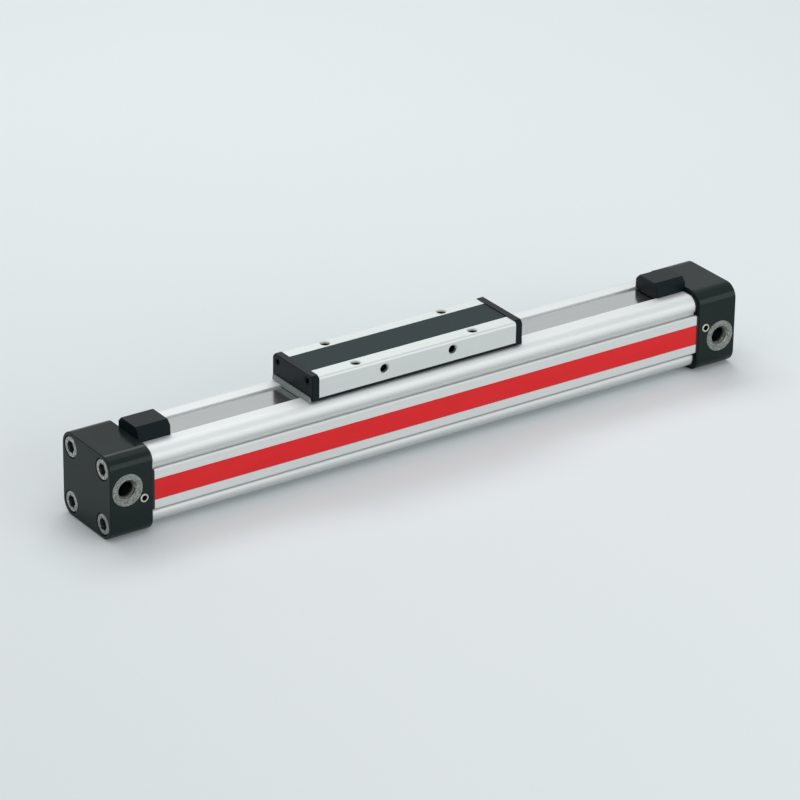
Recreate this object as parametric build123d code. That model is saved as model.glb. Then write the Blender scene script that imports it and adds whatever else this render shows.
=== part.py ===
"""Rodless pneumatic cylinder with a slotted barrel, two sealing bands and a carriage.

Millimetres. X runs along the cylinder, towards the end cap on the right. The ports face -Y, and Z is
up. The origin lies on the surface that the end caps rest on, midway along the cylinder and under its
axis. Every piece is drawn about the axis of the bore and lifted to that height when it is written.
"""
from build123d import *
import os

# Overall
stroke = 150.0
length_less_stroke = 200.0
carriage_rest = -7.5

# End caps
cap_length = 22.0
cap_size = 41.0
cap_corner = 7.0
cap_edge_round = 0.6
cap_inner_chamfer = 0.3
cap_wall = 4.5
collar_length = 6.0
collar_clearance = 0.1
cushion_bore_radius = 6.2
cushion_clearance = 0.3
cap_seal_radius = 7.6
cap_seal_width = 3.0
cap_seal_inset = 2.5
o_ring_section = 0.65
o_ring_inset = 3.0

# Cap screws, which carry a mounting thread in their heads
screw_pitch = 27.0
screw_head_radius = 5.2
screw_head_height = 5.0
screw_head_clearance = 0.15
screw_shank_radius = 3.6
screw_clearance = 0.2
screw_sunk = 0.2
screw_rim_chamfer = 0.5
screw_grip = 12.0
screw_socket_width = 5.5
screw_socket_depth = 2.5
mount_thread_radius = 2.1
mount_thread_depth = 15.0

# Air ports and their threaded inserts
port_from_end = 9.0
port_above_axis = 3.75
port_rim_radius = 7.95
port_rim_depth = 1.4
port_body_radius = 5.4
port_depth = 9.0
port_thread_radius = 4.3
port_mouth_radius = 5.05
port_passage_radius = 4.0
port_rim_chamfer = 0.25

# Cushion adjusting screws
needle_from_end = 17.7
needle_below_axis = 2.4
needle_radius = 2.25
needle_clearance = 0.07
needle_length = 10.0
needle_sunk = 0.1
needle_edge_chamfer = 0.25
needle_tip_radius = 0.9
needle_point_radius = 0.45
needle_tip_length = 2.2
needle_socket_width = 2.5
needle_socket_depth = 1.8

# Gaskets between the caps and the barrel
gasket_thickness = 1.2

# Barrel section
bore_radius = 12.5
barrel_half = 17.4
lobe_radius = 5.0
lobe_foot = 11.4
lower_lobe_radius = 4.5
screw_channel_radius = 3.7
rail_out = 20.0
rail_half = 9.75
rail_neck = 8.0
rail_shoulder = 18.6
rail_edge = 0.5
strip_width = 10.0
strip_thickness = 0.5
strip_clearance = 0.1

# Slot and bands
slot_half = 3.25
cover_band_half = 7.9
cover_band_thickness = 0.6
cover_band_level = 17.0
band_side_clearance = 0.2
seal_band_half = 4.7
seal_band_thickness = 0.6
seal_band_level = 12.1
magnet_strip_width = 3.0
magnet_strip_depth = 1.8
magnet_strip_centre = 6.1
magnet_strip_clearance = 0.05
band_crest_gap = 0.4
cover_band_ramp = 18.0
cover_crest_margin = 2.0
seal_band_ramp = 15.0
seal_crest_margin = 3.0

# Clamps that hold the band ends
clamp_cover_length = 17.0
clamp_cover_half = 8.6
clamp_cover_height = 6.9
clamp_cover_chamfer = 2.3
clamp_cover_edge_chamfer = 0.4
clamp_cover_draft = 0.3
clamp_cover_wall = 1.6
clamp_height = 4.4
clamp_chamfer = 0.8

# Piston
piston_head_length = 22.3
yoke_radius = 11.6
yoke_stud_radius = 5.0
yoke_stud_length = 16.0
yoke_fit = 0.05
stud_end_room = 0.5
tunnel_half = 5.2
tunnel_floor = 6.6
bridge_half_length = 23.0
bridge_underside = 9.0
web_clearance = 0.3
flange_half_length = 25.0
flange_half_width = 13.2
flange_thickness = 2.5
flange_clearance = 0.4
flange_pocket_clearance = 0.1
head_radius = 12.0
head_flat_level = 11.8
end_gap = 0.5
seal_groove_radius = 10.2
seal_width = 3.2
seal_radius = 12.42
seal_from_face = 3.0
wear_groove_radius = 11.0
wear_width = 6.0
wear_from_seal = 3.5
spigot_radius = 5.2
spigot_length = 14.0
spigot_nose = 1.2
magnet_half_length = 15.0
magnet_half_width = 4.0
magnet_depth = 4.0
magnet_edge = 0.3

# Carriage
carriage_length = 117.0
carriage_width = 33.0
carriage_top = 31.0
carriage_edge_round = 1.6
saddle_underside = 20.5
skirt_level = 19.3
saddle_ceiling = 26.8
channel_half = 8.3
insert_half = 9.0
insert_thickness = 2.6
insert_fit = 0.05
insert_chamfer = 0.3
thread_fit = 0.05
screw_end_room = 0.5
end_plate_thickness = 3.8
end_plate_rise = 0.4
end_plate_chamfer = 1.6
end_plate_edge_chamfer = 0.4
end_plate_arch_half = 13.2
end_plate_arch_top = 20.3
end_plate_screw_across = 24.4
end_plate_screw_level = 28.3
end_plate_screw_radius = 1.25
end_plate_screw_clearance = 0.1
end_plate_screw_length = 9.0
end_plate_head_radius = 2.0
end_plate_head_depth = 2.0
end_plate_socket_depth = 1.0
slide_strip_gap = 0.3
slide_strip_inner = 13.6
slide_strip_outer = 16.2
slide_strip_bevel = 14.8
slide_strip_level = 19.7
scraper_gap = 0.3
scraper_lip_half = 15.3
scraper_lip_thickness = 0.8
scraper_lip_top = 21.0
scraper_lip_corner = 1.0
guide_nose = 30.0
guide_nose_level = 22.9
guide_foot = 46.0
scraper_side_clearance = 0.15

# Mounting holes of the carriage
top_hole_spacing_x = 65.0
top_hole_spacing_y = 25.0
side_hole_spacing = 38.0
side_hole_level = 26.0
hole_chamfer = 0.5
top_hole_depth = 9.0
side_hole_depth = 6.0
yoke_screw_spacing_x = 18.0
yoke_screw_spacing_y = 21.6
yoke_screw_radius = 1.4
yoke_screw_head = 2.5
yoke_screw_clearance = 0.1
yoke_screw_top = 28.0

# Places that follow from the sizes above
total_length = length_less_stroke + stroke
axis_height = cap_size / 2
front = -cap_size / 2
cap_outer = -total_length / 2
cap_inner = cap_outer + cap_length
barrel_end = cap_inner + gasket_thickness
collar_end = barrel_end + collar_length
lobe_top = screw_pitch / 2 + lobe_radius
saddle_end = -carriage_length / 2 + end_plate_thickness
cover_band_top = cover_band_level + cover_band_thickness
flange_underside = lobe_top + flange_clearance
flange_top = flange_underside + flange_thickness
head_end = collar_end + stroke / 2 + end_gap
yoke_half_length = -head_end - piston_head_length
recess_half = cover_band_half + band_side_clearance
screw_sides = (-screw_pitch / 2, screw_pitch / 2)
screw_places = [(y, z) for y in screw_sides for z in screw_sides]


def bar_x(section, start, end):
    """A bar along X, whose section is drawn with Y across and Z up."""
    return extrude(Plane.YZ.offset(start) * section, amount=end - start)


def rod_x(radius, start, end, y=0.0, z=0.0):
    return bar_x(Pos(y, z) * Circle(radius), start, end)


def rod_y(radius, start, end, x, z):
    return Pos(x, (start + end) / 2, z) * Rot(90, 0, 0) * Cylinder(radius, abs(end - start))


def rod_z(radius, start, end, x, y):
    return Pos(x, y, (start + end) / 2) * Cylinder(radius, abs(end - start))


def cone_y(front_radius, back_radius, start, end, x, z):
    """A cone along Y, from its front end at start to its back end at end."""
    return Pos(x, (start + end) / 2, z) * Rot(90, 0, 0) * Cone(back_radius, front_radius, end - start)


def block(x, y, z):
    """A block from its low and high ends along each axis."""
    centre = [(low + high) / 2 for low, high in (x, y, z)]
    return Pos(*centre) * Box(x[1] - x[0], y[1] - y[0], z[1] - z[0])


def across(half, low, high):
    """A rectangle across the cylinder, centred on its middle plane, from one level to another."""
    return Pos(0, (low + high) / 2) * Rectangle(2 * half, high - low)


def turned(shape):
    """The same piece at the other end, turned about Y: its port stays in front."""
    return Rot(0, 180, 0) * shape


def mirrored(shape):
    return mirror(shape, about=Plane.YZ)


def group(shapes):
    return Compound(list(shapes))


# Barrel

def rail_section():
    """One dovetail rail, with X along the barrel's side and Y outwards."""
    root = barrel_half - rail_edge
    right = [(rail_neck, root), (rail_neck, barrel_half), (rail_half, rail_shoulder)]
    right += [(rail_half, rail_out - rail_edge), (rail_half - rail_edge, rail_out)]
    left = [(-x, y) for x, y in reversed(right)]
    return Polygon(*right, *left, align=None)


def barrel_outline():
    """Outer shape: four screw lobes, the upper ones undercut, a flat top and rails on the other sides."""
    outline = Rectangle(2 * barrel_half, screw_pitch) + across(screw_pitch / 2, -barrel_half, lobe_top)
    above_groove = across(rail_out, lobe_foot, lobe_top)
    for side in screw_sides:
        outline += (Pos(side, screw_pitch / 2) * Circle(lobe_radius)) & above_groove
        outline += Pos(side, -screw_pitch / 2) * Circle(lower_lobe_radius)
    for angle in (90, 180, 270):
        outline += Rot(0, 0, angle) * rail_section()
    return outline


def barrel_section():
    section = barrel_outline() - Circle(bore_radius)
    section -= across(slot_half, 0, lobe_top)
    section -= across(recess_half, cover_band_level, lobe_top)
    section -= across(seal_band_half + band_side_clearance, 0, seal_band_level + seal_band_thickness)
    for y, z in screw_places:
        section -= Pos(y, z) * Circle(screw_channel_radius)
    for side in (-1, 1):
        groove_half = magnet_strip_width / 2 + magnet_strip_clearance
        groove = across(groove_half, cover_band_level - magnet_strip_depth, cover_band_level)
        section -= Pos(side * magnet_strip_centre, 0) * groove
        recess_depth = strip_thickness + strip_clearance
        recess = Rectangle(2 * recess_depth, strip_width + 2 * strip_clearance)
        section -= Pos(side * rail_out, 0) * recess
    return section


def barrel_profile():
    return bar_x(barrel_section(), barrel_end, -barrel_end)


def front_colour_strip():
    back = -(rail_out - strip_clearance - strip_thickness)
    levels = (-strip_width / 2, strip_width / 2)
    return block((barrel_end, -barrel_end), (back - strip_thickness, back), levels)


def band_magnet_strips():
    levels = (cover_band_level - magnet_strip_depth, cover_band_level)
    strip = block((barrel_end, -barrel_end), (-magnet_strip_width / 2, magnet_strip_width / 2), levels)
    return group(Pos(0, side * magnet_strip_centre, 0) * strip for side in (-1, 1))


def end_gasket():
    section = barrel_outline() - Circle(bore_radius)
    section -= across(slot_half, 0, lobe_top)
    section -= across(recess_half, cover_band_level, lobe_top)
    for y, z in screw_places:
        section -= Pos(y, z) * Circle(screw_channel_radius)
    return bar_x(section, cap_inner, barrel_end)


# Bands

def band_edge(level, crest, crest_half, ramp, centre, start, end):
    """One edge of a band seen from the side: flat, up or down to the crest, and back."""
    edges = []
    crests = []
    for side, far in ((-1, start), (1, end)):
        foot = (centre + side * (crest_half + ramp), level)
        top = (centre + side * crest_half, crest)
        middle = (foot[0] + top[0]) / 2
        edges.append(Line((far, level), foot))
        edges.append(Bezier(foot, (middle, level), (middle, crest), top))
        crests.append(top)
    return [*edges, Line(*crests)]


def threaded_band(half_width, thickness, level, crest, crest_half, ramp, start, end):
    """A flat steel band that leaves its seat to pass the piston's yoke."""
    lower = band_edge(level, crest, crest_half, ramp, carriage_rest, start, end)
    upper = band_edge(level + thickness, crest + thickness, crest_half, ramp, carriage_rest, start, end)
    ends = [Line((x, level), (x, level + thickness)) for x in (start, end)]
    side = make_face([*lower, *upper, *ends])
    return extrude(Plane.XZ * side, amount=half_width, both=True)


def outer_cover_band():
    crest = flange_top + band_crest_gap
    crest_half = flange_half_length + cover_crest_margin
    return threaded_band(cover_band_half, cover_band_thickness, cover_band_level, crest, crest_half,
                         cover_band_ramp, barrel_end, -barrel_end)


def inner_seal_band():
    crest = tunnel_floor + band_crest_gap
    crest_half = bridge_half_length + seal_crest_margin
    return threaded_band(seal_band_half, seal_band_thickness, seal_band_level, crest, crest_half,
                         seal_band_ramp, collar_end, -collar_end)


def band_clamp_cover():
    """Moulded cover over a band end: chamfered along its top, drawn in slightly, hollow underneath."""
    low = lobe_top
    high = lobe_top + clamp_cover_height
    shoulder = high - clamp_cover_chamfer
    right = [(clamp_cover_half, low), (clamp_cover_half - clamp_cover_draft, shoulder)]
    right += [(clamp_cover_half - clamp_cover_draft - clamp_cover_chamfer, high)]
    outline = Polygon(*right, *[(-y, z) for y, z in reversed(right)], align=None)
    cover = bar_x(outline, cap_inner, cap_inner + clamp_cover_length)
    for end in cover.faces().filter_by(Axis.X):
        cover = chamfer(end.edges().sort_by(Axis.Z)[1:], clamp_cover_edge_chamfer)
    hollow_half = clamp_cover_half - clamp_cover_wall
    hollow_x = (cap_inner + clamp_cover_wall, cap_inner + clamp_cover_length - clamp_cover_wall)
    return cover - block(hollow_x, (-hollow_half, hollow_half), (low, cover_band_top + clamp_height))


def band_clamp():
    """Pressure block that the cover holds down on the end of the cover band."""
    half = clamp_cover_half - clamp_cover_wall
    x = (cap_inner + clamp_cover_wall, cap_inner + clamp_cover_length - clamp_cover_wall)
    body = block(x, (-half, half), (cover_band_top, cover_band_top + clamp_height))
    return chamfer(body.faces().sort_by(Axis.Z)[0].edges().filter_by(Axis.Y), clamp_chamfer)


# End caps

def end_cap():
    section = RectangleRounded(cap_size, cap_size, cap_corner)
    cap = bar_x(section, cap_outer, cap_inner)
    cap = fillet(cap.faces().sort_by(Axis.X)[0].edges(), cap_edge_round)
    cap = chamfer(cap.faces().sort_by(Axis.X)[-1].edges(), cap_inner_chamfer)
    cap += rod_x(bore_radius - collar_clearance, cap_inner, collar_end)
    cap -= rod_x(cushion_bore_radius, cap_outer + cap_wall, collar_end)
    seal_end = collar_end - cap_seal_inset
    cap -= rod_x(cap_seal_radius, seal_end - cap_seal_width, seal_end)
    groove_centre = collar_end - o_ring_inset
    groove = rod_x(bore_radius, groove_centre - o_ring_section, groove_centre + o_ring_section)
    cap -= groove - rod_x(o_ring_floor(), cap_inner, collar_end)
    head_seat = cap_outer + screw_head_height
    for y, z in screw_places:
        cap -= rod_x(screw_head_radius + screw_head_clearance, cap_outer, head_seat, y, z)
        cap -= rod_x(screw_shank_radius + screw_clearance, cap_outer, cap_inner, y, z)
    port_x = cap_outer + port_from_end
    cap -= rod_y(port_rim_radius, front, front + port_rim_depth, port_x, port_above_axis)
    cap -= rod_y(port_body_radius, front, front + port_depth, port_x, port_above_axis)
    cap -= rod_y(port_passage_radius, front, 0, port_x, port_above_axis)
    needle_x = cap_outer + needle_from_end
    cap -= rod_y(needle_radius + needle_clearance, front, needle_seat(), needle_x, -needle_below_axis)
    cap -= rod_y(needle_tip_radius + needle_clearance, front, 0, needle_x, -needle_below_axis)
    return cap


def o_ring_floor():
    """Radius of the groove's floor, so that the ring lies on it and stays inside the bore."""
    return bore_radius - collar_clearance / 2 - 2 * o_ring_section - collar_clearance


def cap_o_ring():
    centre_radius = bore_radius - collar_clearance / 2 - o_ring_section
    return Pos(collar_end - o_ring_inset, 0, 0) * Rot(0, 90, 0) * Torus(centre_radius, o_ring_section)


def cushion_seal():
    end = collar_end - cap_seal_inset
    ring = rod_x(cap_seal_radius, end - cap_seal_width, end)
    return ring - rod_x(spigot_radius + cushion_clearance, end - cap_seal_width, end)


def port_insert():
    place = (cap_outer + port_from_end, port_above_axis)
    insert = rod_y(port_rim_radius, front, front + port_rim_depth, *place)
    insert = chamfer(insert.faces().sort_by(Axis.Y)[0].edges(), port_rim_chamfer)
    insert += rod_y(port_body_radius, front, front + port_depth, *place)
    insert -= rod_y(port_thread_radius, front, front + port_depth, *place)
    mouth_end = front + port_mouth_radius - port_thread_radius
    return insert - cone_y(port_mouth_radius, port_thread_radius, front, mouth_end, *place)


def needle_seat():
    return front + needle_sunk + needle_length


def cushion_screw():
    """Needle screw with a hexagon socket, which throttles the air leaving the cushion."""
    x = cap_outer + needle_from_end
    z = -needle_below_axis
    head = front + needle_sunk
    tip_start = needle_seat() - needle_clearance
    tip_end = tip_start + needle_tip_length
    screw = rod_y(needle_radius, head, tip_start, x, z)
    screw = chamfer(screw.faces().sort_by(Axis.Y)[0].edges(), needle_edge_chamfer)
    screw += cone_y(needle_tip_radius, needle_point_radius, tip_start, tip_end, x, z)
    hexagon = RegularPolygon(needle_socket_width / 2, 6, major_radius=False)
    return screw - extrude(Plane.XZ.offset(-head) * Pos(x, z) * hexagon, amount=-needle_socket_depth)


def cap_screw(y, z):
    """Cap screw with a hexagon socket and a mounting thread down its middle."""
    head_end = cap_outer + screw_head_height
    screw = rod_x(screw_head_radius, cap_outer + screw_sunk, head_end, y, z)
    screw = chamfer(screw.faces().sort_by(Axis.X)[0].edges(), screw_rim_chamfer)
    screw += rod_x(screw_shank_radius, head_end, barrel_end + screw_grip, y, z)
    socket = Pos(y, z) * RegularPolygon(screw_socket_width / 2, 6, major_radius=False)
    screw -= bar_x(socket, cap_outer, cap_outer + screw_sunk + screw_socket_depth)
    return screw - rod_x(mount_thread_radius, cap_outer, cap_outer + mount_thread_depth, y, z)


def cap_screws():
    return group(cap_screw(y, z) for y, z in screw_places)


# Piston, drawn about the middle of the carriage

def piston_yoke():
    """Yoke of the piston: both bands run through it, one under its bridge and one over its flange."""
    body = rod_x(yoke_radius, -yoke_half_length, yoke_half_length)
    length = (-yoke_half_length, yoke_half_length)
    body -= block(length, (-tunnel_half, tunnel_half), (tunnel_floor, bore_radius))
    bridge_section = across(tunnel_half, bridge_underside, bore_radius) & Circle(bore_radius - web_clearance)
    body += bar_x(bridge_section, -bridge_half_length, bridge_half_length)
    web_half = slot_half - web_clearance
    web_x = (-bridge_half_length, bridge_half_length)
    body += block(web_x, (-web_half, web_half), (bridge_underside, flange_underside))
    flange_x = (-flange_half_length, flange_half_length)
    body += block(flange_x, (-flange_half_width, flange_half_width), (flange_underside, flange_top))
    for side in (-1, 1):
        stud_end = side * (yoke_half_length + yoke_stud_length)
        body += rod_x(yoke_stud_radius, *sorted((side * yoke_half_length, stud_end)))
    pocket_x = (-magnet_half_length, magnet_half_length)
    pocket_y = (-magnet_half_width, magnet_half_width)
    body -= block(pocket_x, pocket_y, (-yoke_radius, -yoke_radius + magnet_depth))
    for x, y in yoke_screw_places():
        body -= rod_z(yoke_screw_radius + yoke_screw_clearance, flange_underside, flange_top, x, y)
        body -= Pos(x, y, 0) * yoke_screw_cone(yoke_screw_clearance)
    return body


def yoke_screw_cone(clearance):
    """Countersunk head of a yoke screw, grown by a clearance."""
    depth = yoke_screw_head - yoke_screw_radius
    cone = Cone(yoke_screw_head + clearance, yoke_screw_radius + clearance, depth)
    return Pos(0, 0, flange_underside + depth / 2) * cone


def yoke_screw_places():
    return [(x, y) for x in (-yoke_screw_spacing_x / 2, yoke_screw_spacing_x / 2)
            for y in (-yoke_screw_spacing_y / 2, yoke_screw_spacing_y / 2)]


def yoke_screws():
    """Countersunk screws that hold the carriage to the yoke's flange, driven from below."""
    shank = rod_z(yoke_screw_radius, flange_underside, yoke_screw_top, 0, 0)
    screw = shank + yoke_screw_cone(0)
    return group(Pos(x, y, 0) * screw for x, y in yoke_screw_places())


def piston_magnet():
    bar = block((-magnet_half_length, magnet_half_length), (-magnet_half_width, magnet_half_width),
                (-yoke_radius, -yoke_radius + magnet_depth))
    return bar & rod_x(yoke_radius - magnet_edge, -magnet_half_length, magnet_half_length)


def flat_topped(ring):
    """Cuts a ring or a head flat on top, where it runs under the inner band."""
    room = block((head_end, 0), (-bore_radius, bore_radius), (head_flat_level, bore_radius))
    return ring - room


def seal_span():
    start = head_end + seal_from_face
    return start, start + seal_width


def wear_span():
    start = seal_span()[1] + wear_from_seal
    return start, start + wear_width


def piston_head():
    """Left head of the piston, with its grooves and the spigot that closes the cushion."""
    head = rod_x(head_radius, head_end, -yoke_half_length)
    for span, floor in ((seal_span(), seal_groove_radius), (wear_span(), wear_groove_radius)):
        head -= rod_x(bore_radius, *span) - rod_x(floor, *span)
    spigot = rod_x(spigot_radius, head_end - spigot_length, head_end)
    spigot = chamfer(spigot.faces().sort_by(Axis.X)[0].edges(), spigot_nose)
    head += spigot
    stud_end = -yoke_half_length - yoke_stud_length
    head -= rod_x(yoke_stud_radius + yoke_fit, stud_end - stud_end_room, -yoke_half_length)
    return flat_topped(head)


def piston_seal():
    return flat_topped(rod_x(seal_radius, *seal_span()) - rod_x(seal_groove_radius, *seal_span()))


def wear_ring():
    return flat_topped(rod_x(seal_radius, *wear_span()) - rod_x(wear_groove_radius, *wear_span()))


# Carriage, drawn about its own middle

def saddle_section():
    """Extruded saddle: side walls, a web over the band and a seat for the top cover."""
    half = carriage_width / 2
    outline = across(half, saddle_underside, carriage_top)
    corners = outline.vertices().group_by(Axis.Y)[-1]
    outline = fillet(corners, carriage_edge_round)
    outline -= across(channel_half, saddle_underside, saddle_ceiling)
    return outline - across(insert_half, carriage_top - insert_thickness, carriage_top)


def mounting_hole(direction, x, y, z, depth):
    """A tapped hole with a countersunk mouth, along Z or along Y."""
    hole = Cylinder(mount_thread_radius, depth, align=(Align.CENTER, Align.CENTER, Align.MAX))
    mouth = Cone(mount_thread_radius, mount_thread_radius + hole_chamfer, hole_chamfer,
                 align=(Align.CENTER, Align.CENTER, Align.MAX))
    return Pos(x, y, z) * direction * (hole + mouth)


def carriage_saddle():
    saddle = bar_x(saddle_section(), saddle_end, -saddle_end)
    pocket_end = flange_half_length + flange_pocket_clearance
    pocket_half = flange_half_width + flange_pocket_clearance
    saddle -= block((-pocket_end, pocket_end), (-pocket_half, pocket_half), (saddle_underside, flange_top))
    for x in (-top_hole_spacing_x / 2, top_hole_spacing_x / 2):
        for y in (-top_hole_spacing_y / 2, top_hole_spacing_y / 2):
            saddle -= mounting_hole(Rot(0, 0, 0), x, y, carriage_top, top_hole_depth)
    for x in (-side_hole_spacing / 2, side_hole_spacing / 2):
        for side in (-1, 1):
            turn = Rot(-90 * side, 0, 0)
            saddle -= mounting_hole(turn, x, side * carriage_width / 2, side_hole_level, side_hole_depth)
    for x, y in yoke_screw_places():
        saddle -= rod_z(yoke_screw_radius + thread_fit, flange_top, yoke_screw_top + screw_end_room, x, y)
    for y, z in end_plate_screw_places():
        for start in (saddle_end, -saddle_end - end_plate_screw_length):
            saddle -= rod_x(end_plate_screw_radius + thread_fit, start, start + end_plate_screw_length, y, z)
    return saddle


def carriage_top_cover():
    """Dark insert that closes the top of the saddle between its two bright rails."""
    half = insert_half - insert_fit
    cover = block((saddle_end, -saddle_end), (-half, half), (carriage_top - insert_thickness, carriage_top))
    return chamfer(cover.faces().sort_by(Axis.Z)[-1].edges().filter_by(Axis.X), insert_chamfer)


def end_plate_screw_places():
    return [(y, end_plate_screw_level) for y in (-end_plate_screw_across / 2, end_plate_screw_across / 2)]


def carriage_end_plate():
    """Left end plate: it straddles the scraper and carries it."""
    outline = across(carriage_width / 2, skirt_level, carriage_top + end_plate_rise)
    outline = chamfer(outline.vertices().group_by(Axis.Y)[-1], end_plate_chamfer)
    start = -carriage_length / 2
    sink_end = start + end_plate_head_depth
    plate = bar_x(outline, start, saddle_end)
    plate = chamfer(plate.faces().sort_by(Axis.X)[0].edges(), end_plate_edge_chamfer)
    plate -= bar_x(across(end_plate_arch_half, skirt_level, end_plate_arch_top), start, saddle_end)
    for y, z in end_plate_screw_places():
        plate -= rod_x(end_plate_screw_radius + end_plate_screw_clearance, sink_end, saddle_end, y, z)
        plate -= rod_x(end_plate_head_radius + end_plate_screw_clearance, start, sink_end, y, z)
    return plate


def end_plate_screws():
    """Socket screws sunk in the end plate."""
    start = -carriage_length / 2 + end_plate_screw_clearance
    under_head = -carriage_length / 2 + end_plate_head_depth
    tip = saddle_end + end_plate_screw_length - screw_end_room
    screw = rod_x(end_plate_head_radius, start, under_head) + rod_x(end_plate_screw_radius, under_head, tip)
    socket = RegularPolygon(end_plate_screw_radius, 6, major_radius=False)
    screw -= bar_x(socket, start, start + end_plate_socket_depth)
    return group(Pos(0, y, z) * screw for y, z in end_plate_screw_places())


def scraper():
    """Scraper under the end plate: its lip, outside the plate, follows the barrel and the cover band."""
    room = across(screw_pitch / 2, 0, lobe_top + scraper_gap)
    for y in screw_sides:
        room += Pos(y, screw_pitch / 2) * Circle(lobe_radius + scraper_gap)
    room -= across(cover_band_half, cover_band_top + scraper_gap, lobe_top + scraper_gap)
    outline = across(scraper_lip_half, cover_band_level, scraper_lip_top)
    outline = fillet(outline.vertices().group_by(Axis.Y)[-1], scraper_lip_corner) - room
    lip_end = -carriage_length / 2
    lip = bar_x(outline, lip_end - scraper_lip_thickness, lip_end)
    half = end_plate_arch_half - scraper_side_clearance
    return lip + bar_x(outline & across(half, cover_band_level, end_plate_arch_top), lip_end, saddle_end)


def slide_strip():
    """Plastic strip under the rear wall of the saddle, bevelled outside, where it passes over the barrel."""
    low = lobe_top + slide_strip_gap
    points = [(slide_strip_inner, low), (slide_strip_bevel, low), (slide_strip_outer, slide_strip_level)]
    points += [(slide_strip_outer, saddle_underside), (slide_strip_inner, saddle_underside)]
    return bar_x(Polygon(*points, align=None), saddle_end, -saddle_end)


def band_guide():
    """Wedge in the left end of the saddle that presses the cover band back into its seat."""
    low = cover_band_top + scraper_gap
    points = [(saddle_end, low), (-guide_foot, low), (-guide_nose, guide_nose_level)]
    points += [(-guide_nose, saddle_ceiling), (saddle_end, saddle_ceiling)]
    return extrude(Plane.XZ * Polygon(*points, align=None), amount=cover_band_half, both=True)


def write(name, shape):
    export_step(Pos(0, 0, axis_height) * shape, f"parts/{name}.step")


def write_ends(piece, left_shape, other_end):
    """Writes the left piece and the same piece at the right end."""
    write(f"left_{piece}", left_shape)
    write(f"right_{piece}", other_end(left_shape))


def write_carriage_ends(piece, left_shape):
    rest = Pos(carriage_rest, 0, 0)
    write(f"left_{piece}", rest * left_shape)
    write(f"right_{piece}", rest * mirrored(left_shape))


os.makedirs("parts", exist_ok=True)

write("barrel_profile", barrel_profile())
write("front_colour_strip", front_colour_strip())
write("band_magnet_strips", band_magnet_strips())
write("outer_cover_band", outer_cover_band())
write("inner_seal_band", inner_seal_band())

write_ends("end_cap", end_cap(), turned)
write_ends("cap_screws", cap_screws(), turned)
write_ends("cap_o_ring", cap_o_ring(), turned)
write_ends("cushion_seal", cushion_seal(), turned)
write_ends("port_insert", port_insert(), turned)
write_ends("cushion_screw", cushion_screw(), turned)
write_ends("end_gasket", end_gasket(), mirrored)
write_ends("band_clamp_cover", band_clamp_cover(), mirrored)
write_ends("band_clamp", band_clamp(), mirrored)

write("piston_yoke", Pos(carriage_rest, 0, 0) * piston_yoke())
write("yoke_screws", Pos(carriage_rest, 0, 0) * yoke_screws())
write("piston_magnet", Pos(carriage_rest, 0, 0) * piston_magnet())
write_carriage_ends("piston_head", piston_head())
write_carriage_ends("piston_seal", piston_seal())
write_carriage_ends("wear_ring", wear_ring())

write("carriage_saddle", Pos(carriage_rest, 0, 0) * carriage_saddle())
write("carriage_top_cover", Pos(carriage_rest, 0, 0) * carriage_top_cover())
write("rear_slide_strip", Pos(carriage_rest, 0, 0) * slide_strip())
write("front_slide_strip", Pos(carriage_rest, 0, 0) * mirror(slide_strip(), about=Plane.XZ))
write_carriage_ends("carriage_end_plate", carriage_end_plate())
write_carriage_ends("end_plate_screws", end_plate_screws())
write_carriage_ends("scraper", scraper())
write_carriage_ends("band_guide", band_guide())
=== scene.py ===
"""Rodless pneumatic cylinder on a pale floor: its finishes, steel bands, strip lips and threads."""
import math

import bpy
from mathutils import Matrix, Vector


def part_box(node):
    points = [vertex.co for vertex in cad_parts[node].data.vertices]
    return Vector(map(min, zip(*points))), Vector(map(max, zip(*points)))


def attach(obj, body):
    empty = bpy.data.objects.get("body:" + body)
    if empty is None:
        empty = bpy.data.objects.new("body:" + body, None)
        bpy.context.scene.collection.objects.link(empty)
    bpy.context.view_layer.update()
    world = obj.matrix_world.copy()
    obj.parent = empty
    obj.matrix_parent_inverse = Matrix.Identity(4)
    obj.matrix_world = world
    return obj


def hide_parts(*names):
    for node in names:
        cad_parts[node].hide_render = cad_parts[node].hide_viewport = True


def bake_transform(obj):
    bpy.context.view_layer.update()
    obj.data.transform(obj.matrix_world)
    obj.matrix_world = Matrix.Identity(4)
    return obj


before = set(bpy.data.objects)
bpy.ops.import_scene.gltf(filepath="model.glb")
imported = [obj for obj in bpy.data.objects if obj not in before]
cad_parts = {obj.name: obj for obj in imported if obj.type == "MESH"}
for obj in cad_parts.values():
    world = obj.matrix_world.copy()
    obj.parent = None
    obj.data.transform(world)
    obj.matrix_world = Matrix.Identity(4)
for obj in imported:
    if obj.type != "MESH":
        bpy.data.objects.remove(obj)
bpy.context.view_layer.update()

# Sizes, in metres
millimetre = 0.001
axis_height = 0.0205
carriage_rest = -0.0075
ramp_steps = 24
cover_band = {"node": "outer_cover_band", "far_end": 0.1518, "level": axis_height + 0.017,
              "crest": axis_height + 0.0218, "crest_half": 0.027, "ramp": 0.018}
seal_band = {"node": "inner_seal_band", "far_end": 0.1458, "level": axis_height + 0.0121,
             "crest": axis_height + 0.007, "crest_half": 0.026, "ramp": 0.015}
band_thickness = 0.0006
lip_width = 0.0009
lip_foot_share = 0.6
lip_rounding = lip_width / 5
lip_level = axis_height + 0.0189
lip_root_level = axis_height + 0.0198
floor_size = 12
floor_gap = 0.0001
same_place = 0.00001

# Boxes below whose faces shade is painted into the colour, by their middle and half size along each axis:
# below the skins with holes, and the lower grooves beside the rails
cap_screw_skin = {"X": (0, 0.1748)}
cap_front_skin = {"Y": (0, 0.0205)}
carriage_skin = {"Y": (0, 0.0165), "Z": (0, axis_height + 0.031)}
lower_grooves = {"Y": (0, 0.0187), "Z": (axis_height - 0.0111, 0.0013)}
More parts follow.
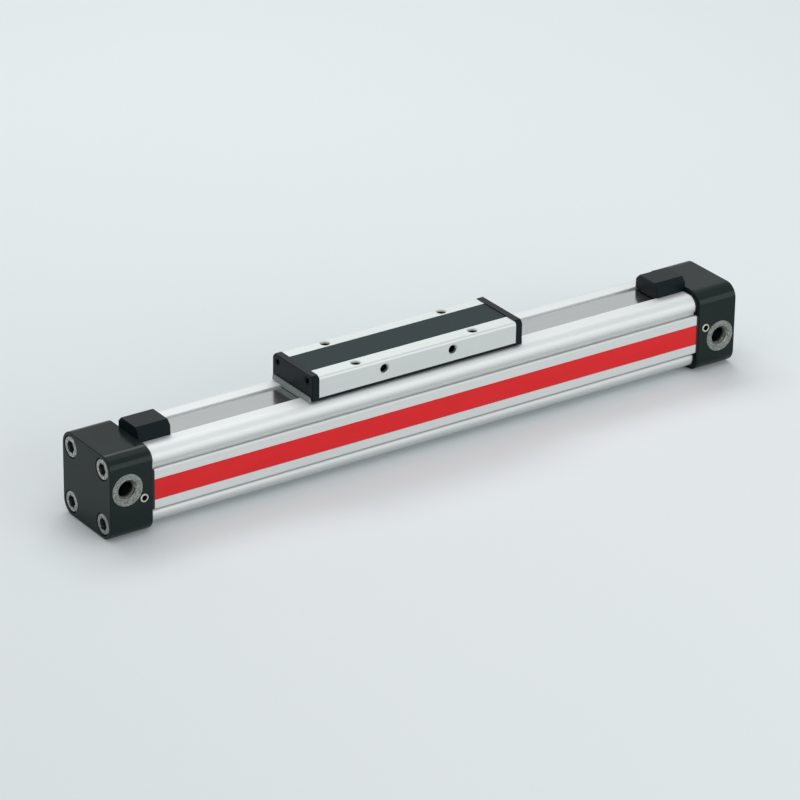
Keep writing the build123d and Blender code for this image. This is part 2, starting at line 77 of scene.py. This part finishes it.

# Colour of the painted shade in such an inside, and the depths below its skin where it starts and is
# darkest
painted_shade_colour = "#0c0f10"
painted_shade_from = 0.0003
hole_dark_at = 0.0016
socket_dark_at = 0.0038
port_dark_at = 0.0036
groove_dark_at = 0.001

# Threads, and the places where they start
port_thread = {"root": 0.00433, "crest": 0.00395, "pitch": 0.000907}
mount_thread = {"root": 0.00213, "crest": 0.00184, "pitch": 0.0008}
port_from_middle = 0.166
port_above_axis = 0.00375
port_start = 0.0199
cap_screw_start = 0.1722
cap_screw_off_axis = 0.0135
top_hole_along = 0.0325
top_hole_across = 0.0125
top_hole_start = axis_height + 0.0305
side_hole_along = 0.019
side_hole_level = axis_height + 0.026
side_hole_start = 0.016
port_turns = 8
cap_screw_turns = 12
top_hole_turns = 9
side_hole_turns = 6

# Shape of a thread's ridge: its foot as a share of the pitch, its crest as a share of the foot
ridge_foot = 0.9
ridge_crest = 0.2
steps_per_turn = 24

# Edges with a smaller angle, in degrees, are shaded smooth
smooth_under = 30
thread_smooth_under = 35

# Values between which most of a random pattern lies, and a narrower pair for clearer patches
pattern_low = 0.3
pattern_high = 0.7
patch_low = 0.38
patch_high = 0.62


# Materials

def linear(code):
    """Turns an sRGB hex colour into the linear values that a shader takes."""
    parts = [int(code[i:i + 2], 16) / 255 for i in (1, 3, 5)]
    return [p / 12.92 if p <= 0.04045 else ((p + 0.055) / 1.055) ** 2.4 for p in parts] + [1.0]


def add(tree, kind, settings=(), links=()):
    """Adds a node with its settings and links, each under the name or number of a socket or property."""
    made = tree.nodes.new(kind)
    for name, value in dict(settings).items():
        if isinstance(name, int) or name in made.inputs:
            made.inputs[name].default_value = value
        else:
            setattr(made, name, value)
    for name, source in dict(links).items():
        tree.links.new(source, made.inputs[name])
    return made


def finish_of(name, metallic=0.0, specular=0.5):
    """A new material with its shader and its Object coordinates."""
    material = bpy.data.materials.new(name)
    material.use_nodes = True
    tree = material.node_tree
    shader = tree.nodes["Principled BSDF"]
    shader.inputs["Metallic"].default_value = metallic
    shader.inputs["Specular IOR Level"].default_value = specular
    place = add(tree, "ShaderNodeTexCoord").outputs["Object"]
    return material, tree, shader, place


def random_pattern(tree, place, sizes, detail=2.0):
    """A cloudy pattern whose spots have the given sizes along X, Y and Z, in millimetres."""
    scale = [1 / (size * millimetre) for size in sizes]
    mapping = add(tree, "ShaderNodeMapping", {"Scale": scale}, {"Vector": place})
    settings = {"Scale": 1.0, "Detail": detail, "Roughness": 0.55}
    return add(tree, "ShaderNodeTexNoise", settings, {"Vector": mapping.outputs["Vector"]}).outputs["Fac"]


def vary(tree, shader, pattern, colours=None, roughness=None, relief=None):
    """Runs the colour between two hex codes and the roughness between two values by a pattern. A relief
    bumps the surface by it, with a strength and a depth in millimetres."""
    if colours:
        first, second = colours
        settings = {"data_type": "RGBA", 6: linear(first), 7: linear(second)}
        mix = add(tree, "ShaderNodeMix", settings, {0: pattern})
        tree.links.new(mix.outputs[2], shader.inputs["Base Color"])
    if roughness:
        low, high = roughness
        ends = {"From Min": pattern_low, "From Max": pattern_high, "To Min": low, "To Max": high}
        span = add(tree, "ShaderNodeMapRange", ends, {"Value": pattern})
        tree.links.new(span.outputs["Result"], shader.inputs["Roughness"])
    if relief:
        strength, depth = relief
        settings = {"Strength": strength, "Distance": depth * millimetre}
        bump = add(tree, "ShaderNodeBump", settings, {"Height": pattern})
        tree.links.new(bump.outputs["Normal"], shader.inputs["Normal"])


def depth_below(tree, place, box):
    """How far a point lies below the faces of a box, which has a middle and a half size along each axis."""
    split = add(tree, "ShaderNodeSeparateXYZ", links={0: place}).outputs
    depths = []
    for axis, (middle, half) in box.items():
        off = add(tree, "ShaderNodeMath", {"operation": "SUBTRACT", 1: middle}, {0: split[axis]})
        out = add(tree, "ShaderNodeMath", {"operation": "ABSOLUTE"}, {0: off.outputs[0]})
        depths.append(add(tree, "ShaderNodeMath", {"operation": "SUBTRACT", 0: half}, {1: out.outputs[0]}))
    while len(depths) > 1:
        pair = {0: depths.pop().outputs[0], 1: depths.pop().outputs[0]}
        depths.append(add(tree, "ShaderNodeMath", {"operation": "MINIMUM"}, pair))
    return depths[0].outputs[0]


def paint_shade_in_recesses(tree, shader, depth, dark_at, share=1.0):
    """Paints shade into the base colour below the skin, up to a share, as a hole's inside falls into
    shadow.
    """
    skin = shader.inputs["Base Color"].links[0].from_socket
    span = {"From Min": painted_shade_from, "From Max": dark_at, "To Max": share}
    # Painted shade: the colour fades towards the painted shade colour with depth below the skin
    fade = add(tree, "ShaderNodeMapRange", span, {"Value": depth})
    settings = {"data_type": "RGBA", 7: linear(painted_shade_colour)}
    mix = add(tree, "ShaderNodeMix", settings, {0: fade.outputs["Result"], 6: skin})
    tree.links.new(mix.outputs[2], shader.inputs["Base Color"])


def drawn_anodised_aluminium(name, pale, dark, roughness, recesses, dark_at, share):
    """Extruded aluminium, matt anodised: soft pale sheen with die lines along it, and painted shade in its
    recesses.
    """
    material, tree, shader, place = finish_of(name, metallic=1.0)
    # Die lines lie about 0.2 mm apart, and are drawn 0.5 mm apart to show.
    lines = random_pattern(tree, place, (600, 0.5, 0.5), detail=3.0)
    vary(tree, shader, random_pattern(tree, place, (50, 12, 12)), colours=(pale, dark))
    vary(tree, shader, lines, roughness=(roughness - 0.05, roughness + 0.05), relief=(0.35, 0.03))
    # Painted shade: the colour darkens in the holes and grooves below the skin
    paint_shade_in_recesses(tree, shader, depth_below(tree, place, recesses), dark_at, share)
    return material


def black_coated_casting():
    """Die-cast cap with a black coating: near black, satin, with a faint pebble in its sheen."""
    material, tree, shader, place = finish_of("black_coated_casting", specular=0.13)
    clouds = random_pattern(tree, place, (14, 14, 14))
    vary(tree, shader, clouds, colours=("#16211f", "#1b2624"), roughness=(0.15, 0.2))
    # The pebble of the coating is about 0.4 mm across, and is drawn 0.9 mm across to show.
    vary(tree, shader, random_pattern(tree, place, (0.9, 0.9, 0.9), detail=3.0), relief=(0.1, 0.01))
    return material


def moulded_black_nylon():
    """Glass-filled nylon from a spark-eroded mould: near black, finely grained, a dull sheen."""
    material, tree, shader, place = finish_of("moulded_black_nylon", specular=0.13)
    vary(tree, shader, random_pattern(tree, place, (10, 10, 10)), colours=("#061115", "#0b181b"))
    # The grain of the mould is about 0.2 mm across, and is drawn 0.6 mm across to show.
    grain = random_pattern(tree, place, (0.6, 0.6, 0.6), detail=3.0)
    vary(tree, shader, grain, roughness=(0.28, 0.38), relief=(0.2, 0.01))
    return material


def slate_coated_cover():
    """Flat cover strip with a slate-grey coating: matt and even, with fine lines along it."""
    material, tree, shader, place = finish_of("slate_coated_cover", specular=0.08)
    # The lines lie about 0.2 mm apart, and are drawn 0.5 mm apart to show.
    lines = random_pattern(tree, place, (50, 0.5, 0.5), detail=3.0)
    vary(tree, shader, lines, colours=("#1f2f31", "#253537"), roughness=(0.36, 0.46))
    vary(tree, shader, random_pattern(tree, place, (0.7, 0.7, 0.7)), relief=(0.15, 0.01))
    return material


def red_printed_film():
    """Coloured plastic strip in the rail: flat signal red with a light satin skin."""
    material, tree, shader, place = finish_of("red_printed_film", specular=0.25)
    clouds = random_pattern(tree, place, (30, 6, 6))
    vary(tree, shader, clouds, colours=("#cc151b", "#d41c21"), roughness=(0.36, 0.46))
    vary(tree, shader, random_pattern(tree, place, (4, 1.2, 1.2)), relief=(0.1, 0.02))
    return material


def cold_rolled_steel():
    """Stainless spring band: smooth and bright, with a faint roller grain and a clear dark reflection."""
    material, tree, shader, place = finish_of("cold_rolled_steel", metallic=1.0)
    # The roller grain is finer than 0.1 mm, and is drawn 0.4 mm wide to show.
    lines = random_pattern(tree, place, (120, 0.4, 0.4), detail=3.0)
    vary(tree, shader, lines, colours=("#c2c4c4", "#c7c9c9"), roughness=(0.15, 0.19), relief=(0.03, 0.01))
    return material


def turned_metal(name, pale, dark, roughness, skin=None, dark_at=hole_dark_at):
    """Turned or machined metal: grey and uneven, with duller spots, and with painted shade in its holes."""
    material, tree, shader, place = finish_of(name, metallic=1.0)
    # The spots are about 0.3 mm across, and are drawn 0.9 mm across to show.
    spots = random_pattern(tree, place, (0.9, 0.9, 0.9), detail=3.0)
    ends = {"From Min": patch_low, "From Max": patch_high}
    patches = add(tree, "ShaderNodeMapRange", ends, {"Value": spots}).outputs["Result"]
    vary(tree, shader, patches, colours=(pale, dark))
    vary(tree, shader, spots, roughness=(roughness - 0.06, roughness + 0.08), relief=(0.4, 0.04))
    if skin:
        # Painted shade darkens the colour inside the holes and sockets
        paint_shade_in_recesses(tree, shader, depth_below(tree, place, skin), dark_at)
    return material


def matt_polymer(name, pale, dark, roughness, grain):
    """Rubber, plastic or sintered magnet: dull and even, with a grain of a size in millimetres."""
    material, tree, shader, place = finish_of(name, specular=0.35)
    # The real grain is about 0.1 mm across, and is drawn several times coarser to show.
    spots = random_pattern(tree, place, (grain, grain, grain), detail=3.0)
    near = (roughness - 0.05, roughness + 0.05)
    vary(tree, shader, spots, colours=(pale, dark), roughness=near, relief=(0.25, 0.03))
    return material


def studio_paper():
    """Pale seamless paper for the floor, clear from below so that the underside of the object shows."""
    material, tree, shader, place = finish_of("studio_paper")
    shader.inputs["Roughness"].default_value = 0.9
    vary(tree, shader, random_pattern(tree, place, (300, 300, 300)), colours=("#e3e9eb", "#e6ebed"))
    below = add(tree, "ShaderNodeNewGeometry").outputs["Backfacing"]
    clear = add(tree, "ShaderNodeBsdfTransparent")
    sides = {0: below, 1: shader.outputs[0], 2: clear.outputs[0]}
    mix = add(tree, "ShaderNodeMixShader", links=sides)
    tree.links.new(mix.outputs[0], tree.nodes["Material Output"].inputs["Surface"])
    return material


# Carried-over nodes

def dress(material, *names):
    """Gives CAD nodes a finish."""
    for name in names:
        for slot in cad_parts[name].material_slots:
            slot.material = material


def dress_ends(material, *pieces):
    """Gives a finish to pieces of which the object has a left and a right one."""
    for piece in pieces:
        dress(material, f"left_{piece}", f"right_{piece}")


# Modelling

def select_faces(piece, wanted):
    """In edit mode, selects the faces whose centre passes a test."""
    bpy.ops.mesh.select_all(action="DESELECT")
    bpy.ops.object.mode_set(mode="OBJECT")
    for face in piece.data.polygons:
        face.select = wanted(face.center)
    bpy.ops.object.mode_set(mode="EDIT")


def close_edit(piece):
    """Leaves edit mode, shades the piece smooth over its round edges and deselects it."""
    bpy.ops.object.mode_set(mode="OBJECT")
    bpy.ops.object.shade_smooth_by_angle(angle=math.radians(smooth_under))
    bpy.ops.object.select_all(action="DESELECT")
    return piece


# Steel bands

def ramp_point(share):
    """Place along a ramp and rise on it, both from 0 to 1, for a share of its curve with level ends."""
    along = 1.5 * share - 1.5 * share ** 2 + share ** 3
    return along, share ** 2 * (3 - 2 * share)


def band_half(name, side, node, far_end, level, crest, crest_half, ramp):
    """Half of a steel band: flat from its clamped end, up the ramp and along the crest to the middle."""
    low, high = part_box(node)
    foot = carriage_rest + side * (crest_half + ramp)
    middle = ((side * far_end + foot) / 2, 0, level + band_thickness / 2)
    size = (abs(foot - side * far_end), high.y - low.y, band_thickness)
    bpy.ops.mesh.primitive_cube_add(size=1, location=middle, scale=size)
    piece = bpy.context.object
    piece.name = name
    bpy.ops.object.transform_apply(location=True, rotation=True, scale=True)
    bpy.ops.object.mode_set(mode="EDIT")
    bpy.context.tool_settings.mesh_select_mode = (False, False, True)
    select_faces(piece, lambda centre: abs(centre.x - foot) < same_place)
    points = [ramp_point(step / ramp_steps) for step in range(ramp_steps + 1)]
    for (before, low_rise), (after, high_rise) in zip(points, points[1:]):
        move = (-side * ramp * (after - before), 0, (crest - level) * (high_rise - low_rise))
        bpy.ops.mesh.extrude_region_move(TRANSFORM_OT_translate={"value": move})
    bpy.ops.mesh.extrude_region_move(TRANSFORM_OT_translate={"value": (-side * crest_half, 0, 0)})
    return close_edit(piece)


def steel_bands(steel):
    """Both bands, each in two halves that rise to a shared hump at the carriage's rest place."""
    for band in (cover_band, seal_band):
        for word, side in (("left", -1), ("right", 1)):
            half = band_half(f"{word}_half_of_{band['node']}", side, **band)
            half.data.materials.append(steel)
            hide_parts(band["node"])
            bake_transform(half)


# Carriage

def strip_lip(word, side):
    """Narrow black lip under a slide strip, which fills most of its gap to the barrel so that the line
    there is dark, with a round edge.
    """
    low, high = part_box(f"{word}_slide_strip")
    outer = low.y if side < 0 else high.y
    middle = ((low.x + high.x) / 2, outer - side * lip_width / 2, (lip_level + lip_root_level) / 2)
    size = (high.x - low.x, lip_width, lip_root_level - lip_level)
    bpy.ops.mesh.primitive_cube_add(size=1, location=middle, scale=size)
    piece = bpy.context.object
    piece.name = f"{word}_strip_lip"
    bpy.ops.object.transform_apply(location=True, rotation=True, scale=True)
    bpy.ops.object.mode_set(mode="EDIT")
    bpy.context.tool_settings.mesh_select_mode = (False, False, True)
    select_faces(piece, lambda centre: abs(centre.z - lip_level) < same_place)
    bpy.ops.transform.resize(value=(1, lip_foot_share, 1), center_override=(0, outer, 0))
    bpy.ops.mesh.bevel(offset=lip_rounding, segments=3, affect="EDGES")
    return close_edit(piece)


# Screw threads

def thread_ridge(root, crest, pitch, turns):
    """One internal thread, from its start at the origin down its axis, -Z: a ridge spun round the axis."""
    middle = ((root + crest) / 2, 0, -pitch / 2)
    bpy.ops.mesh.primitive_plane_add(size=1, rotation=(math.pi / 2, 0, 0), location=middle)
    ridge = bpy.context.object
    ridge.scale = (root - crest, ridge_foot * pitch, 1)
    bpy.ops.object.transform_apply(location=True, rotation=True, scale=True)
    at_root = [abs(vertex.co.x - root) < same_place for vertex in ridge.data.vertices]
    bpy.ops.object.mode_set(mode="EDIT")
    bpy.ops.mesh.delete(type="ONLY_FACE")
    bpy.ops.mesh.select_all(action="DESELECT")
    bpy.ops.object.mode_set(mode="OBJECT")
    for edge in ridge.data.edges:
        edge.select = all(at_root[i] for i in edge.vertices)
    bpy.context.tool_settings.mesh_select_mode = (False, True, False)
    bpy.ops.object.mode_set(mode="EDIT")
    bpy.ops.mesh.delete(type="EDGE")
    bpy.ops.object.mode_set(mode="OBJECT")
    for vertex in ridge.data.vertices:
        vertex.select = abs(vertex.co.x - crest) < same_place
    bpy.context.tool_settings.mesh_select_mode = (True, False, False)
    bpy.ops.object.mode_set(mode="EDIT")
    bpy.ops.transform.resize(value=(1, 1, ridge_crest), center_override=(0, 0, -pitch / 2))
    bpy.ops.object.mode_set(mode="OBJECT")
    spin = ridge.modifiers.new("spin", "SCREW")
    spin.axis = "Z"
    spin.screw_offset = -pitch
    spin.iterations = turns
    spin.steps = steps_per_turn
    spin.render_steps = steps_per_turn
    spin.use_merge_vertices = True
    spin.use_normal_calculate = True
    spin.use_normal_flip = True
    bpy.ops.object.modifier_apply(modifier="spin")
    return ridge


def threads(name, thread, turns, starts, down):
    """Threads that start at some points and run in one direction, joined as one piece."""
    ridge = thread_ridge(turns=turns, **thread)
    pieces = [ridge]
    for _ in starts[1:]:
        copy = ridge.copy()
        copy.data = ridge.data.copy()
        bpy.context.scene.collection.objects.link(copy)
        pieces.append(copy)
    for piece, start in zip(pieces, starts):
        piece.rotation_euler = Vector(down).to_track_quat("-Z", "Y").to_euler()
        piece.location = start
        piece.select_set(True)
    bpy.context.view_layer.objects.active = ridge
    bpy.ops.object.transform_apply(location=True, rotation=True, scale=True)
    if len(pieces) > 1:
        bpy.ops.object.join()
    bpy.ops.object.shade_smooth_by_angle(angle=math.radians(thread_smooth_under))
    bpy.ops.object.select_all(action="DESELECT")
    ridge.name = name
    return ridge


def belongs(piece, metal, body):
    """Gives a new piece its finish and its body."""
    piece.data.materials.append(metal)
    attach(piece, body)


def cap_threads(insert_metal, screw_metal):
    """Threads of the ports and of the mounting holes in the cap screws."""
    both = (-cap_screw_off_axis, cap_screw_off_axis)
    for word, side in (("left", -1), ("right", 1)):
        starts = [(side * port_from_middle, -port_start, axis_height - side * port_above_axis)]
        port = threads(f"{word}_port_thread", port_thread, port_turns, starts, (0, 1, 0))
        belongs(port, insert_metal, "base")
        starts = [(side * cap_screw_start, y, axis_height + z) for y in both for z in both]
        screws = threads(f"{word}_cap_screw_threads", mount_thread, cap_screw_turns, starts, (-side, 0, 0))
        belongs(screws, screw_metal, "base")


def carriage_threads(metal):
    """Threads of the holes in the top and in both sides of the carriage."""
    along = [carriage_rest + x for x in (-top_hole_along, top_hole_along)]
    starts = [(x, y, top_hole_start) for x in along for y in (-top_hole_across, top_hole_across)]
    tops = threads("carriage_top_threads", mount_thread, top_hole_turns, starts, (0, 0, -1))
    belongs(tops, metal, "carriage")
    along = [carriage_rest + x for x in (-side_hole_along, side_hole_along)]
    for word, side in (("front", -1), ("rear", 1)):
        starts = [(x, side * side_hole_start, side_hole_level) for x in along]
        sides = threads(f"{word}_side_threads", mount_thread, side_hole_turns, starts, (0, -side, 0))
        belongs(sides, metal, "carriage")


# Studio

def softbox(name, size, power, location):
    """An area lamp, in metres and watts, that faces the object and stays out of every view."""
    light = bpy.data.lights.new(name, "AREA")
    light.shape = "RECTANGLE"
    light.size, light.size_y = size
    light.energy = power
    lamp = bpy.data.objects.new(name, light)
    bpy.context.scene.collection.objects.link(lamp)
    lamp.location = location
    lamp.rotation_euler = (-Vector(location)).to_track_quat("-Z", "Y").to_euler()
    lamp.visible_camera = False


def studio_world():
    """Even surroundings: half-strength light on the object, and a pale backdrop to see and to reflect."""
    world = bpy.data.worlds.new("studio")
    world.use_nodes = True
    tree = world.node_tree
    light = tree.nodes["Background"]
    light.inputs["Color"].default_value = linear("#f2f5f6")
    light.inputs["Strength"].default_value = 0.48
    backdrop = add(tree, "ShaderNodeBackground", {"Color": linear("#f0f3f4"), "Strength": 0.86})
    path = add(tree, "ShaderNodeLightPath").outputs
    rays = {0: path["Is Camera Ray"], 1: path["Is Glossy Ray"]}
    seen = add(tree, "ShaderNodeMath", {"operation": "MAXIMUM"}, rays)
    links = {0: seen.outputs[0], 1: light.outputs[0], 2: backdrop.outputs[0]}
    mix = add(tree, "ShaderNodeMixShader", links=links)
    tree.links.new(mix.outputs[0], tree.nodes["World Output"].inputs["Surface"])
    bpy.context.scene.world = world


def studio():
    """Pale floor and three softboxes: overhead, a narrow one behind for the edges, a wide one in front."""
    bpy.ops.mesh.primitive_plane_add(size=floor_size, location=(0, 0, -floor_gap))
    floor = bpy.context.object
    floor.name = "studio_floor"
    floor.data.materials.append(studio_paper())
    softbox("overhead_softbox", size=(1.4, 1.0), power=4.5, location=(0.1, 0.1, 1.4))
    softbox("edge_softbox", size=(1.1, 0.45), power=5.0, location=(0.2, 0.76, 1.02))
    softbox("front_softbox", size=(2.0, 0.8), power=10.5, location=(0.25, -1.3, 0.42))
    studio_world()
    bpy.context.scene.view_settings.view_transform = "Standard"


def photograph_camera():
    """The camera that took the photograph, solved from points on the caps, carriage and strip."""
    camera = bpy.data.objects.new("camera", bpy.data.cameras.new("camera"))
    bpy.context.scene.collection.objects.link(camera)
    camera.data.lens = 197.87
    camera.data.sensor_width = 36.0
    camera.data.clip_start = 0.05
    camera.location = (-1.058135, -1.508671, 0.893546)
    camera.rotation_euler = [math.radians(a) for a in (64.563409, -0.759595, -34.522892)]
    bpy.context.scene.camera = camera


bpy.ops.object.select_all(action="DESELECT")

# Bodies and covers
# The extrusion gets painted shade in its lower grooves beside the rails, the saddle in its holes
extrusion = drawn_anodised_aluminium("matt_anodised_extrusion", "#d2d4d4", "#cbcecd", 0.66,
                                     lower_grooves, groove_dark_at, 0.5)
dress(extrusion, "barrel_profile")
saddle = drawn_anodised_aluminium("satin_anodised_saddle", "#cbcfcd", "#c4c8c7", 0.62,
                                  carriage_skin, hole_dark_at, 1.0)
dress(saddle, "carriage_saddle")
dress_ends(black_coated_casting(), "end_cap")
nylon = moulded_black_nylon()
dress_ends(nylon, "band_clamp_cover", "carriage_end_plate")
dress(nylon, "front_slide_strip", "rear_slide_strip")
dress(slate_coated_cover(), "carriage_top_cover")
dress(red_printed_film(), "front_colour_strip")
steel = cold_rolled_steel()
steel_bands(steel)

# Black oxide on steel: almost black, with a faint metallic sheen
dress_ends(turned_metal("black_oxide_screw", "#1c1f20", "#131617", 0.4), "end_plate_screws")
# Zinc plating: cool light grey, blotched with darker grey, with painted shade in the sockets
zinc = turned_metal("zinc_plated_screw", "#b6b9b5", "#767c77", 0.36, cap_screw_skin, socket_dark_at)
dress_ends(zinc, "cap_screws")
dress(zinc, "yoke_screws")
# Turned steel: a darker and duller grey than the screws, with painted shade in the port's bore
insert_metal = turned_metal("turned_port_insert", "#9a9d97", "#6d726e", 0.4, cap_front_skin, port_dark_at)
dress_ends(insert_metal, "port_insert")
# Bright turned metal, slightly warm, that glints, with painted shade in its socket
needle = turned_metal("turned_cushion_screw", "#d8d8cc", "#b0b1a8", 0.3, cap_front_skin)
dress_ends(needle, "cushion_screw")
# Machined cast aluminium: clean silver grey with a sharper sheen than the anodised pieces
machined = turned_metal("machined_cast_aluminium", "#b8babb", "#a8abab", 0.34)
dress(machined, "piston_yoke")
dress_ends(machined, "piston_head")

# Pressed rubber: deep black and dull
rubber = matt_polymer("pressed_black_rubber", "#141616", "#1b1d1d", 0.6, 0.8)
dress_ends(rubber, "cap_o_ring", "cushion_seal", "end_gasket", "piston_seal")
# Moulded acetal: mid grey with a soft plastic sheen
dress_ends(matt_polymer("moulded_grey_acetal", "#828b89", "#8c9593", 0.45, 1.0), "scraper", "band_clamp")
# Machined acetal: off-white with a soft plastic sheen
acetal = matt_polymer("machined_white_acetal", "#cfcfc8", "#c5c6c0", 0.4, 1.0)
dress_ends(acetal, "wear_ring", "band_guide")
# Sintered magnet: dark grey and matt, like fine stone
magnet = matt_polymer("sintered_magnet", "#2b2c2d", "#363738", 0.5, 0.6)
dress(magnet, "piston_magnet", "band_magnet_strips")

# Strip lips and threads
for word, side in (("front", -1), ("rear", 1)):
    belongs(strip_lip(word, side), nylon, "carriage")
cap_threads(insert_metal, zinc)
carriage_threads(saddle)

studio()
photograph_camera()
